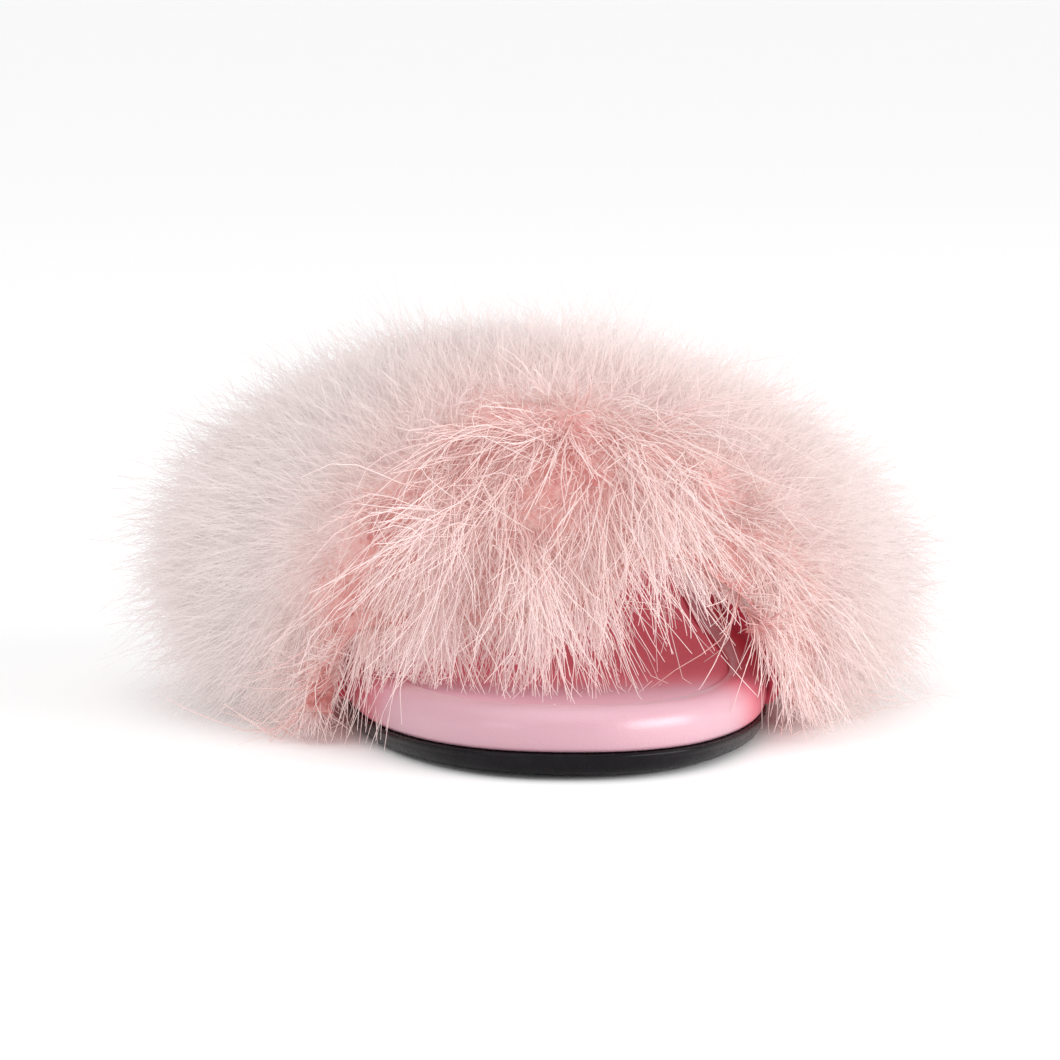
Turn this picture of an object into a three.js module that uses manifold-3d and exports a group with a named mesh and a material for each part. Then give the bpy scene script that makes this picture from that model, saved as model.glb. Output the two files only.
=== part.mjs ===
// A flat marabou slipper for the right foot, in millimetres with +Z up. It stands on Z = 0, and the origin is
// under the middle of the sole. The toe points to -Y, and the inner side, the big toe's side, is at +X.
import * as THREE from "three";
import Module from "manifold-3d";
import { mergeVertices } from "three/addons/utils/BufferGeometryUtils.js";

const { lerp, smoothstep } = THREE.MathUtils;
const wasm = await Module();
wasm.setup();

// Sole
const SOLE_LENGTH = 262;
const BALL_WIDTH = 97;
const HEEL_WIDTH = 71;
const OUTSOLE_THICKNESS = 4.8;
const OUTSOLE_TAPER = 3.2; // the tread's edge lies this far inside the lip
const OUTSOLE_LIP = 0.7; // height of the rounded lip under the footbed
const TOE_SPRING = 1.2;
const TOE_SPRING_END = 0.2; // share of the length behind which the tread is flat

// Leather-wrapped footbed and its insole
const FOOTBED_TOE = 9.5;
const FOOTBED_HEEL = 19;
const FOOTBED_GROOVE = 1.2; // the wall's foot lies this far inside the outsole's lip
const RIM_RADIUS = 5;
const RIM_WIDTH = 8.5;
const RIM_DIP = 1.1; // fall from the rim's crest to the insole's edge
const INSOLE_THICKNESS = 3.5;
const INSOLE_ROUND = 1.2;
const DISH_DEPTH = 1.4;
const HEEL_CUP = 3.2;
const ARCH_RISE = 3;

// Strap, the leather band over the instep
const STRAP_WALL = 2.4;
const STRAP_FRONT_TOP = 62; // from the toe tip to the front edge, over the instep
const STRAP_FRONT_SIDE = 70;
const STRAP_BACK_TOP = 142;
const STRAP_BACK_SIDE = 164;
const STRAP_FRONT_HEIGHT = 43; // inner height over the rim at the front edge
const STRAP_BACK_HEIGHT = 47;
const STRAP_PEAK_SHIFT = 5; // the instep's ridge runs nearer the inner side
const STRAP_SQUARENESS = 0.85; // 1 is an ellipse, less is boxier
const LASTING_MARGIN = 12; // width of the turned-in edge under the footbed
const LASTING_BEND = 2.2;

// Marabou trim, measured over the tips of its locks
const FUR_OUTER = 105; // from the middle of the sole to the outer side
const FUR_INNER = 94;
const FUR_HEIGHT = 98;
const FUR_LEAN = 7; // the crown lies this far to the outer side
const FUR_FRONT = 20; // from the toe tip back to the front of the fur
const FUR_BACK = 203;
const FUR_TUFT = 15; // how far the locks stand out of the body of the fur
const FUR_CROWN_TUFT = 9; // the same on its crown, where they lie flat
const FUR_FLOOR = 1.4; // height of the lowest down over the floor
const FUR_MIDDLE = 30; // height at which the fur is widest
const FUR_SINK = 140; // depth of the egg below its middle, where the floor cuts it off
const FUR_PULL = 18; // the fur's foot lies this far behind its breast
const HEM_LOW = 27; // height of the front fringe over the floor, outer half
const HEM_HIGH = 43; // the same where the toe opening shows
const CURTAIN_BACK = 51; // from the toe tip to the back of the front fringe
const ENTRY_FLARE = 1.08; // widening of the hollow behind the strap

const GAP = 0.3; // between pieces that meet
const FUR_GAP = 0.5;

// The sole's outline: along is a share of the length from the toe tip, inner and outer are shares of width.
const TOE_TIP_X = 0.06 * BALL_WIDTH;
const OUTLINE = [
  { along: 0.01, inner: 0.2, outer: 0.08, width: BALL_WIDTH },
  { along: 0.047, inner: 0.325, outer: 0.215, width: BALL_WIDTH },
  { along: 0.118, inner: 0.425, outer: 0.345, width: BALL_WIDTH },
  { along: 0.22, inner: 0.488, outer: 0.447, width: BALL_WIDTH },
  { along: 0.34, inner: 0.483, outer: 0.5, width: BALL_WIDTH },
  { along: 0.49, inner: 0.4, outer: 0.472, width: BALL_WIDTH },
  { along: 0.64, inner: 0.352, outer: 0.412, width: BALL_WIDTH },
  { along: 0.79, inner: 0.492, outer: 0.508, width: HEEL_WIDTH },
  { along: 0.905, inner: 0.435, outer: 0.44, width: HEEL_WIDTH },
  { along: 0.98, inner: 0.245, outer: 0.245, width: HEEL_WIDTH },
];
const RING_POINTS = 56;
const CAP_COLUMNS = 6; // across a dished face
const RIM_STEPS = 3;

const toeY = -SOLE_LENGTH / 2;
const shareAt = (y) => (y - toeY) / SOLE_LENGTH;
const yAt = (fromToe) => toeY + fromToe;

function outlineCurve() {
  const side = (row, name, sign) =>
    new THREE.Vector3(sign * row[name] * row.width, yAt(row.along * SOLE_LENGTH), 0);
  const points = [
    new THREE.Vector3(TOE_TIP_X, toeY, 0),
    ...OUTLINE.map((row) => side(row, "inner", 1)),
    new THREE.Vector3(0, toeY + SOLE_LENGTH, 0),
    ...OUTLINE.map((row) => side(row, "outer", -1)).reverse(),
  ];
  return new THREE.CatmullRomCurve3(points, true, "centripetal");
}
const soleOutline = outlineCurve();

// The outline drawn in by inset, anticlockwise from the toe tip. Points i and RING_POINTS - i face each
// other.
function outlineRing(inset, heightAt) {
  return Array.from({ length: RING_POINTS }, (_, i) => {
    const p = soleOutline.getPoint(i / RING_POINTS);
    const along = soleOutline.getTangent(i / RING_POINTS);
    const x = p.x - along.y * inset;
    const y = p.y + along.x * inset;
    return new THREE.Vector3(x, y, heightAt(shareAt(y)));
  });
}

// The half width of the outline at y, on the inner (+1) or outer (-1) side.
const edgeSamples = soleOutline.getPoints(400);
function halfWidth(y, sign) {
  for (let i = 1; i < edgeSamples.length; i++) {
    const [a, b] = [edgeSamples[i - 1], edgeSamples[i]];
    const crosses = (a.y - y) * (b.y - y) <= 0 && a.y !== b.y;
    if (crosses && Math.sign(b.y - a.y) === sign) return sign * lerp(a.x, b.x, (y - a.y) / (b.y - a.y));
  }
  return 0;
}

// Heights of the sole's layers at a share of the length
const treadZ = (share) => TOE_SPRING * Math.max(0, 1 - share / TOE_SPRING_END) ** 2;
const outsoleTopZ = (share) => treadZ(share) + OUTSOLE_THICKNESS;
const footbedBottomZ = (share) => outsoleTopZ(share) + GAP;
const rimZ = (share) =>
  footbedBottomZ(share) + lerp(FOOTBED_TOE, FOOTBED_HEEL, smoothstep(share, 0.3, 0.75));

// How far the insole lies under the rim: across runs from -1 on the outer edge to 1 on the inner edge.
function dish(share, across) {
  const bowl = (1 - across ** 2) * (1 - (2 * share - 1) ** 6);
  const depth = lerp(DISH_DEPTH, HEEL_CUP, smoothstep(share, 0.6, 0.85));
  const arch = ARCH_RISE * Math.exp(-(((share - 0.56) / 0.13) ** 2)) * smoothstep(across, -0.2, 0.7);
  return depth * bowl - arch * (1 - across ** 8);
}

// A list of triangles that becomes a solid
class Faces {
  corners = [];
  triangle(a, b, c) {
    this.corners.push(...a.toArray(), ...b.toArray(), ...c.toArray());
  }
  quad(a, b, c, d) {
    this.triangle(a, b, c);
    this.triangle(a, c, d);
  }
  // The band between two rings, b being the next one upwards or inwards
  band(a, b, closed = true) {
    for (let i = 0; i < (closed ? a.length : a.length - 1); i++) {
      const next = (i + 1) % a.length;
      this.quad(a[i], a[next], b[next], b[i]);
    }
  }
  solid() {
    const geometry = new THREE.BufferGeometry();
    geometry.setAttribute("position", new THREE.Float32BufferAttribute(this.corners, 3));
    return manifoldOf(geometry);
  }
}

function manifoldOf(geometry) {
  const loose = geometry.index ? geometry.toNonIndexed() : geometry;
  const bare = new THREE.BufferGeometry();
  bare.setAttribute("position", loose.getAttribute("position"));
  const merged = mergeVertices(bare, 1e-3);
  const index = merged.index.array;
  const kept = [];
  for (let i = 0; i < index.length; i += 3) {
    const [a, b, c] = index.slice(i, i + 3);
    if (a !== b && b !== c && c !== a) kept.push(a, b, c);
  }
  const vertProperties = merged.attributes.position.array;
  return new wasm.Manifold(new wasm.Mesh({ numProp: 3, vertProperties, triVerts: new Uint32Array(kept) }));
}

function geometryOf(solid) {
  const mesh = solid.getMesh();
  const geometry = new THREE.BufferGeometry();
  geometry.setAttribute("position", new THREE.BufferAttribute(mesh.vertProperties, 3));
  geometry.setIndex(new THREE.BufferAttribute(mesh.triVerts, 1));
  geometry.computeVertexNormals();
  return geometry;
}

// A sole layer's level or dished face inside a ring: drop lowers it at a share of the length and across.
const level = () => 0;
function cap(faces, ring, drop, facesUp) {
  const half = RING_POINTS / 2;
  const columns = drop === level ? 1 : CAP_COLUMNS;
  const rowAt = (j) => {
    if (j === 0 || j === half) return Array(columns + 1).fill(ring[j]);
    const [from, to] = [ring[RING_POINTS - j], ring[j]];
    return Array.from({ length: columns + 1 }, (_, c) => {
      const p = from.clone().lerp(to, c / columns);
      const inside = c > 0 && c < columns;
      if (inside) p.z -= drop(shareAt(p.y), (2 * c) / columns - 1);
      return p;
    });
  };
  for (let j = 0; j < half; j++) {
    const [near, far] = [rowAt(j), rowAt(j + 1)];
    for (let c = 0; c < columns; c++) {
      if (facesUp) faces.quad(near[c], near[c + 1], far[c + 1], far[c]);
      else faces.quad(near[c], far[c], far[c + 1], near[c + 1]);
    }
  }
}

// A layer of the sole from its profile, a list of insets and heights from the bottom up.
function soleLayer(profile, bottomDrop, topDrop) {
  const faces = new Faces();
  const rings = profile.map(({ inset, z }) => outlineRing(inset, z));
  rings.slice(1).forEach((ring, k) => faces.band(rings[k], ring));
  cap(faces, rings[0], bottomDrop, false);
  cap(faces, rings[rings.length - 1], topDrop, true);
  return faces.solid();
}

function outsole() {
  const profile = [
    { inset: OUTSOLE_TAPER, z: treadZ },
    { inset: OUTSOLE_TAPER / 2, z: (s) => treadZ(s) + OUTSOLE_LIP },
    { inset: OUTSOLE_TAPER / 20, z: (s) => outsoleTopZ(s) - 2 * OUTSOLE_LIP },
    { inset: 0, z: (s) => outsoleTopZ(s) - OUTSOLE_LIP },
    { inset: OUTSOLE_LIP, z: outsoleTopZ },
  ];
  return soleLayer(profile, level, level);
}

// The wall and rim of the footbed. Its top is sunk to take the insole.
function footbed() {
  const seat = (s) => rimZ(s) - RIM_DIP - INSOLE_THICKNESS - GAP;
  const round = Array.from({ length: RIM_STEPS + 1 }, (_, k) => {
    const turn = (Math.PI / 2) * (k / RIM_STEPS);
    const rise = RIM_RADIUS * (Math.sin(turn) - 1);
    return { inset: RIM_RADIUS * (1 - Math.cos(turn)), z: (s) => rimZ(s) + rise };
  });
  const profile = [
    { inset: FOOTBED_GROOVE, z: footbedBottomZ },
    { inset: FOOTBED_GROOVE / 3, z: (s) => footbedBottomZ(s) + FOOTBED_GROOVE },
    ...round,
    { inset: RIM_WIDTH - INSOLE_ROUND, z: (s) => rimZ(s) - RIM_DIP * 0.35 },
    { inset: RIM_WIDTH, z: (s) => rimZ(s) - RIM_DIP },
    { inset: RIM_WIDTH, z: seat },
  ];
  return soleLayer(profile, level, dish);
}

function insole() {
  const top = (s) => rimZ(s) - RIM_DIP;
  const edge = RIM_WIDTH + GAP;
  const profile = [
    { inset: edge, z: (s) => top(s) - INSOLE_THICKNESS },
    { inset: edge, z: (s) => top(s) - INSOLE_ROUND },
    { inset: edge + INSOLE_ROUND, z: top },
  ];
  return soleLayer(profile, dish, dish);
}

// The whole sole as one plain block, grown on all sides, to cut its neighbours with
function soleBlock(grow) {
  const profile = [
    { inset: -grow, z: () => -grow },
    { inset: -grow, z: (s) => rimZ(s) - RIM_RADIUS / 2 },
    { inset: RIM_RADIUS / 2, z: (s) => rimZ(s) + grow },
  ];
  return soleLayer(profile, level, level);
}

const ARCH_STEPS = 22;
const FOOT_POINTS = 4; // points of the strap's section on each turned-in edge
const STRAP_ROWS = 5;

const strapBackY = yAt(STRAP_BACK_TOP);
const strapFrontY = yAt(STRAP_FRONT_TOP);
const strapRise = (y) =>
  lerp(STRAP_FRONT_HEIGHT, STRAP_BACK_HEIGHT, (y - strapFrontY) / (strapBackY - strapFrontY));

// The middle line of the strap's section at y, from the turned-in edge on the outer side over the instep to
// the inner side. A point's crown is 0 on the sides and 1 on the ridge.
function strapSection(y) {
  const share = shareAt(y);
  const lift = GAP + STRAP_WALL / 2;
  const bottom = outsoleTopZ(share) + lift;
  const legTop = rimZ(share) - RIM_RADIUS;
  const foot = (sign) => {
    const x = halfWidth(y, sign) + lift;
    return [
      [x - LASTING_MARGIN, bottom],
      [x - LASTING_BEND, bottom],
      [x - LASTING_BEND * 0.3, bottom + LASTING_BEND * 0.3],
      [x, bottom + LASTING_BEND],
    ].map(([px, pz]) => ({ x: sign * px, z: pz, crown: 0 }));
  };
  const [outerX, innerX] = [-halfWidth(y, -1) - lift, halfWidth(y, 1) + lift];
  const height = RIM_RADIUS + strapRise(y) + STRAP_WALL / 2;
  const arch = Array.from({ length: ARCH_STEPS + 1 }, (_, i) => {
    const turn = Math.PI * (1 - i / ARCH_STEPS);
    const [c, s] = [Math.cos(turn), Math.sin(turn)];
    const reach = Math.sign(c) * Math.abs(c) ** STRAP_SQUARENESS;
    return {
      x: (outerX + innerX) / 2 + ((innerX - outerX) / 2) * reach + STRAP_PEAK_SHIFT * s ** 2,
      z: legTop + height * Math.abs(s) ** STRAP_SQUARENESS,
      crown: s ** 2,
    };
  });
  return [...foot(-1), ...arch, ...foot(1).reverse()];
}

// The section's line moved out by distance, or in if it is negative
function offsetLine(points, distance) {
  return points.map((p, i) => {
    const before = points[Math.max(0, i - 1)];
    const after = points[Math.min(points.length - 1, i + 1)];
    const [dx, dz] = [after.x - before.x, after.z - before.z];
    const length = Math.hypot(dx, dz);
    return { x: p.x - (dz / length) * distance, z: p.z + (dx / length) * distance };
  });
}

// The strap, its wall grown on every side by grow
function strap(grow = 0) {
  const crowns = strapSection(strapFrontY).map((p) => p.crown);
  const surface = (distance) =>
    Array.from({ length: STRAP_ROWS + 1 }, (_, row) =>
      crowns.map((crown, k) => {
        const front = yAt(lerp(STRAP_FRONT_SIDE, STRAP_FRONT_TOP, crown)) - grow;
        const back = yAt(lerp(STRAP_BACK_SIDE, STRAP_BACK_TOP, crown)) + grow;
        const y = lerp(front, back, row / STRAP_ROWS);
        const p = offsetLine(strapSection(y), distance)[k];
        const end = k === 0 ? -grow : k === crowns.length - 1 ? grow : 0;
        return new THREE.Vector3(p.x - end, y, p.z);
      }),
    );
  const outside = surface(STRAP_WALL / 2 + grow);
  const inside = surface(-STRAP_WALL / 2 - grow);
  const faces = new Faces();
  for (let row = 0; row < STRAP_ROWS; row++) {
    faces.band(outside[row], outside[row + 1], false);
    faces.band(inside[row + 1], inside[row], false);
  }
  faces.band(inside[0], outside[0], false);
  faces.band(outside[STRAP_ROWS], inside[STRAP_ROWS], false);
  const column = (grid, k) => grid.map((row) => row[k]);
  const last = crowns.length - 1;
  faces.band(column(outside, 0), column(inside, 0), false);
  faces.band(column(inside, last), column(outside, last), false);
  return faces.solid();
}

// The body of the fur: an egg over the strap, from its front pole to its back pole, which the floor cuts off
const DOME_ROWS = 12;
const DOME_COLUMNS = 22;
const DOME_PLAN = 2.3; // exponents of the outline from above and from the front: 2 is an ellipse
const DOME_FACE = { outer: 2, inner: 1.8 };
const furFrontY = yAt(FUR_FRONT);
const furBackY = yAt(FUR_BACK);

// The egg's sizes from its middle: side and level say which way, and forward is 1 at the front pole.
const domeMiddleY = (furFrontY + furBackY) / 2;
const domeWidth = (side) => (side > 0 ? FUR_INNER : FUR_OUTER) - FUR_TUFT;
const domeFace = (side) => (side > 0 ? DOME_FACE.inner : DOME_FACE.outer);
const domeLean = (rise) => FUR_LEAN * Math.max(0, rise) ** 2;
const domeHeight = (level) => (level > 0 ? FUR_HEIGHT - FUR_CROWN_TUFT - FUR_MIDDLE : FUR_SINK);
const domeDepth = (z, forward) =>
  (furBackY - furFrontY) / 2 - FUR_TUFT - FUR_PULL * (1 - smoothstep(z, 0, FUR_MIDDLE)) * Math.abs(forward);

// A point of the egg: turn runs from the front pole (0) to the back pole (PI), and tilt right round it, from
// the inner side (0) over the top to the outer side (PI) and back below.
function domePoint(turn, tilt) {
  const power = (value, exponent) => Math.sign(value) * Math.abs(value) ** (2 / exponent);
  const forward = power(Math.cos(turn), DOME_PLAN);
  const spread = power(Math.sin(turn), DOME_PLAN);
  const face = domeFace(Math.cos(tilt));
  const across = power(Math.cos(tilt), face) * spread;
  const rise = power(Math.sin(tilt), face) * spread;
  const x = across * domeWidth(across) - domeLean(rise);
  const z = FUR_MIDDLE + rise * domeHeight(rise);
  return new THREE.Vector3(x, domeMiddleY - forward * domeDepth(z, forward), z);
}

// How far back the egg's front face lies at x and z
function domeFront(x, z) {
  const rise = Math.abs(z - FUR_MIDDLE) / domeHeight(z - FUR_MIDDLE);
  const side = x + domeLean(z > FUR_MIDDLE ? rise : 0);
  const across = Math.abs(side) / domeWidth(side);
  const spread = (across ** domeFace(side) + rise ** domeFace(side)) ** (1 / domeFace(side));
  const forward = (1 - spread ** DOME_PLAN) ** (1 / DOME_PLAN);
  return domeMiddleY - forward * domeDepth(z, forward);
}

function dome() {
  const rows = Array.from({ length: DOME_ROWS - 1 }, (_, j) =>
    Array.from({ length: DOME_COLUMNS }, (_, k) =>
      domePoint((Math.PI * (j + 1)) / DOME_ROWS, (2 * Math.PI * k) / DOME_COLUMNS),
    ),
  );
  const faces = new Faces();
  rows.slice(1).forEach((row, j) => faces.band(row, rows[j]));
  const [front, back] = [domePoint(0, 0), domePoint(Math.PI, 0)];
  const last = rows[rows.length - 1];
  for (let k = 0; k < DOME_COLUMNS; k++) {
    const next = (k + 1) % DOME_COLUMNS;
    faces.triangle(front, rows[0][k], rows[0][next]);
    faces.triangle(back, last[next], last[k]);
  }
  return faces.solid();
}

// The hollow under the strap, carried on behind it, where the foot goes in, and forward to the fringe
const HOLLOW_ROWS = 8;
function hollow() {
  const [from, to] = [yAt(CURTAIN_BACK), furBackY + FUR_TUFT];
  const faces = new Faces();
  const loops = Array.from({ length: HOLLOW_ROWS + 1 }, (_, j) => {
    const y = lerp(from, to, j / HOLLOW_ROWS);
    const flare = lerp(1, ENTRY_FLARE, smoothstep(y, strapBackY, to));
    const arch = strapSection(Math.min(y, strapBackY + FUR_TUFT)).slice(FOOT_POINTS, -FOOT_POINTS);
    const inside = offsetLine(arch, -STRAP_WALL / 2 + GAP);
    const loop = inside.map((p) => new THREE.Vector3(p.x * flare, y, p.z * flare));
    return [new THREE.Vector3(loop[0].x, y, 0), ...loop, new THREE.Vector3(loop[loop.length - 1].x, y, 0)];
  });
  loops.slice(1).forEach((loop, j) => faces.band(loops[j], loop));
  const flat = (loop) => loop.map((p) => new THREE.Vector2(p.x, p.z));
  for (const [loop, facesFront] of [[loops[0], true], [loops[HOLLOW_ROWS], false]])
    for (const [a, b, c] of THREE.ShapeUtils.triangulateShape(flat(loop), [])) {
      if (facesFront) faces.triangle(loop[a], loop[b], loop[c]);
      else faces.triangle(loop[a], loop[c], loop[b]);
    }
  return faces.solid();
}

// The window under the front fringe, through which the toe of the sole shows. x is a share of the half width.
const HEM = [
  { x: -1, z: HEM_LOW * 0.8 },
  { x: -0.8, z: HEM_LOW },
  { x: 0.15, z: HEM_LOW },
  { x: 0.42, z: HEM_HIGH },
  { x: 0.8, z: HEM_HIGH },
  { x: 1, z: HEM_LOW * 0.8 },
];
const windowHalf = BALL_WIDTH / 2 + 1;
function toeWindow() {
  const shape = new THREE.Shape([
    new THREE.Vector2(-windowHalf, -1),
    new THREE.Vector2(windowHalf, -1),
    ...HEM.map((p) => new THREE.Vector2(p.x * windowHalf, p.z)).reverse(),
  ]);
  const depth = STRAP_FRONT_SIDE + 1;
  const geometry = new THREE.ExtrudeGeometry(shape, { depth, bevelEnabled: false, steps: 1 });
  geometry.rotateX(Math.PI / 2);
  geometry.translate(0, yAt(STRAP_FRONT_SIDE), 0);
  return manifoldOf(geometry);
}

function hemZ(x) {
  const share = x / windowHalf;
  const next = Math.max(1, HEM.findIndex((p) => p.x >= share));
  const [from, to] = [HEM[next - 1], HEM[next]];
  return lerp(from.z, to.z, (share - from.x) / (to.x - from.x));
}

// Repeatable scatter
function scatter(seed) {
  let state = seed;
  return (low, high) => {
    state = (state * 1664525 + 1013904223) >>> 0;
    return lerp(low, high, state / 2 ** 32);
  };
}

// One lock of down: a flat tapering horn from root along out, bending towards droop
const LOCK_SIDES = 4;
const LOCK_RINGS = [
  { at: 0, size: 0.7 },
  { at: 0.4, size: 1 },
  { at: 0.72, size: 0.62 },
];
const lockSpot = (root, out, droop, length, at) =>
  root.clone().addScaledVector(out, length * at).addScaledVector(droop, length * LOCK_BEND * at ** 2);
function lock({ root, out, droop, length, width, thickness }) {
  const across = new THREE.Vector3().crossVectors(out, droop).normalize();
  const depth = new THREE.Vector3().crossVectors(across, out).normalize();
  const spot = (at) => lockSpot(root, out, droop, length, at);
  const rings = LOCK_RINGS.map(({ at, size }) =>
    Array.from({ length: LOCK_SIDES }, (_, i) => {
      const turn = (2 * Math.PI * i) / LOCK_SIDES;
      return spot(at)
        .addScaledVector(across, (Math.cos(turn) * size * width) / 2)
        .addScaledVector(depth, (-Math.sin(turn) * size * thickness) / 2);
    }),
  );
  const faces = new Faces();
  rings.slice(1).forEach((ring, r) => faces.band(rings[r], ring));
  const tip = spot(1);
  for (let i = 0; i < LOCK_SIDES; i++) {
    const next = (i + 1) % LOCK_SIDES;
    faces.triangle(root, rings[0][next], rings[0][i]);
    faces.triangle(tip, rings[rings.length - 1][i], rings[rings.length - 1][next]);
  }
  return faces.solid();
}

const LOCK_ROWS = 9;
const LOCK_COLUMNS = 18; // in the widest row
const LOCK_LENGTH = 27;
const LOCK_WIDTH = 18;
const LOCK_THICKNESS = 9;
const LOCK_SUNK = 3.5; // depth of a lock's root inside the body
const LOCK_BEND = 0.2;
const LOCK_LIFT = 0.45; // how steeply a lock stands off the body: 0 lies flat on it
const down = new THREE.Vector3(0, 0, -1);

function domeNormal(turn, tilt) {
  const step = 0.02;
  const slope = (dTurn, dTilt) =>
    domePoint(turn + dTurn, tilt + dTilt).sub(domePoint(turn - dTurn, tilt - dTilt));
  return new THREE.Vector3().crossVectors(slope(step, 0), slope(0, step)).normalize();
}

// A lock whose tip would hang into the toe opening
function overWindow({ root, out, droop, length }) {
  const tip = lockSpot(root, out, droop, length, 1);
  return Math.abs(tip.x) < windowHalf && tip.y < strapFrontY && tip.z < hemZ(tip.x);
}

// The locks lie over each other all round the body, swept from its crest down to the floor.
function locks() {
  const draw = scatter(41);
  const rows = Array.from({ length: LOCK_ROWS }, (_, j) => {
    const row = Math.PI * lerp(0.04, 0.93, (j + 0.5) / LOCK_ROWS);
    const columns = Math.ceil(LOCK_COLUMNS * Math.sin(row));
    return Array.from({ length: columns }, (_, k) => {
      const turn = row + draw(-0.08, 0.08);
      const tilt = Math.PI * lerp(-0.08, 1.08, (k + draw(0.25, 0.75)) / columns);
      const normal = domeNormal(turn, tilt);
      const root = domePoint(turn, tilt).addScaledVector(normal, -LOCK_SUNK);
      const fall = new THREE.Vector3(draw(-0.5, 0.5), draw(-0.5, 0.5), -1);
      const droop = fall.addScaledVector(normal, -fall.dot(normal)).normalize();
      const out = droop.clone().addScaledVector(normal, LOCK_LIFT).normalize();
      const size = draw(0.75, 1.15);
      const [length, width, thickness] = [LOCK_LENGTH, LOCK_WIDTH, LOCK_THICKNESS].map((full) => full * size);
      return { root, out, droop, length, width, thickness };
    });
  });
  return rows.flat().filter((tuft) => !overWindow(tuft)).map(lock);
}

// The fringe, rows of locks that hang over the toe opening from the body's front face
const FRINGE_ROWS = 2;
const FRINGE_LOCKS = 12;
const FRINGE_DROP = 7; // depth of the tips below the hem
const FRINGE_STEP = 9; // from one row up to the next
function fringe() {
  const draw = scatter(7);
  const tufts = [];
  for (let row = 0; row < FRINGE_ROWS; row++)
    for (let i = 0; i < FRINGE_LOCKS; i++) {
      const x = windowHalf * lerp(-0.9, 0.9, (i + 0.5 * (row % 2)) / (FRINGE_LOCKS - 0.5));
      const length = LOCK_LENGTH * draw(0.75, 1);
      const tipZ = hemZ(x) + row * FRINGE_STEP - FRINGE_DROP * draw(0.4, 1);
      const rootZ = tipZ + length;
      const root = new THREE.Vector3(x, domeFront(x, rootZ) + LOCK_SUNK, rootZ);
      const out = new THREE.Vector3(draw(-0.15, 0.15), domeFront(x, tipZ) - root.y, -length).normalize();
      const droop = new THREE.Vector3(draw(-0.3, 0.3), -1, 0).normalize();
      const size = { length, width: LOCK_WIDTH * 0.65, thickness: LOCK_THICKNESS * 0.8 };
      tufts.push(lock({ root, out, droop, ...size }));
    }
  return tufts;
}

function marabou() {
  let fur = dome().subtract(toeWindow());
  for (const tuft of locks()) fur = fur.add(tuft);
  fur = fur.subtract(hollow());
  for (const tuft of fringe()) fur = fur.add(tuft);
  fur = fur.subtract(strap(FUR_GAP)).subtract(soleBlock(FUR_GAP));
  const floor = new THREE.BoxGeometry(4 * FUR_OUTER, 2 * SOLE_LENGTH, SOLE_LENGTH);
  floor.translate(0, 0, FUR_FLOOR - SOLE_LENGTH / 2);
  return largest(fur.subtract(manifoldOf(floor)));
}

// The biggest closed body of a solid, without the crumbs that a cut leaves
function largest(solid) {
  return solid.decompose().sort((a, b) => b.volume() - a.volume())[0];
}

const slipper = new THREE.Group();
slipper.name = "slipper";

function piece(name, solid, color, roughness) {
  const material = new THREE.MeshStandardMaterial({ color, roughness, metalness: 0 });
  const mesh = new THREE.Mesh(geometryOf(solid), material);
  mesh.name = name;
  slipper.add(mesh);
}

piece("outsole", outsole(), 0x1b181b, 0.4);
piece("footbed", footbed().subtract(strap(GAP)), 0xf0bccb, 0.42);
piece("insole", insole(), 0xe9a9b8, 0.5);
piece("strap", strap(), 0xdf93a2, 0.5);
piece("marabou", marabou(), 0xf0cfcb, 0.95);

export default slipper;
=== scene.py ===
"""A marabou slipper for the right foot

All sizes are in metres and +Z is up. The toe points to -Y, the inner side of the foot is at +X, and the
origin is under the middle of the sole."""
import math

import bmesh
import bpy
import numpy as np
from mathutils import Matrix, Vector


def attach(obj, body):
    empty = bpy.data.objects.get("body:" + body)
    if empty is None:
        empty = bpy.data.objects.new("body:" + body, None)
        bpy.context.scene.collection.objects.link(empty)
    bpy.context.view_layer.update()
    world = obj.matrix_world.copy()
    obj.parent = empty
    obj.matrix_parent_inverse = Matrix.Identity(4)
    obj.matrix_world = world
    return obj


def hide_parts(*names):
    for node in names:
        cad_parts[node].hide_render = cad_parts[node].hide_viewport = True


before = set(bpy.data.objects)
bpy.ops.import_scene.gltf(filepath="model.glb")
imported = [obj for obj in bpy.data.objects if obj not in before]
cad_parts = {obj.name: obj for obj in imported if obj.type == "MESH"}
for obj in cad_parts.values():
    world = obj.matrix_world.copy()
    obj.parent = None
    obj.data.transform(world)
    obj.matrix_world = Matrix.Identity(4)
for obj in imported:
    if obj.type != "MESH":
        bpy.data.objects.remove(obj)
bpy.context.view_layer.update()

MM = 0.001

# Sole, as in the CAD
SOLE_LENGTH = 262 * MM
BALL_WIDTH = 97 * MM
HEEL_WIDTH = 71 * MM
OUTSOLE_THICKNESS = 4.8 * MM
OUTSOLE_TAPER = 3.2 * MM
OUTSOLE_LIP = 0.7 * MM
TOE_SPRING = 1.2 * MM
TOE_SPRING_END = 0.2  # share of the length behind which the tread is flat
FOOTBED_TOE = 9.5 * MM
FOOTBED_HEEL = 19 * MM
FOOTBED_GROOVE = 1.2 * MM
RIM_RADIUS = 5 * MM
RIM_WIDTH = 8.5 * MM
RIM_DIP = 1.1 * MM
INSOLE_THICKNESS = 3.5 * MM
INSOLE_ROUND = 1.2 * MM
DISH_DEPTH = 1.4 * MM
HEEL_CUP = 3.2 * MM
ARCH_RISE = 3 * MM
GAP = 0.3 * MM

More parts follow.
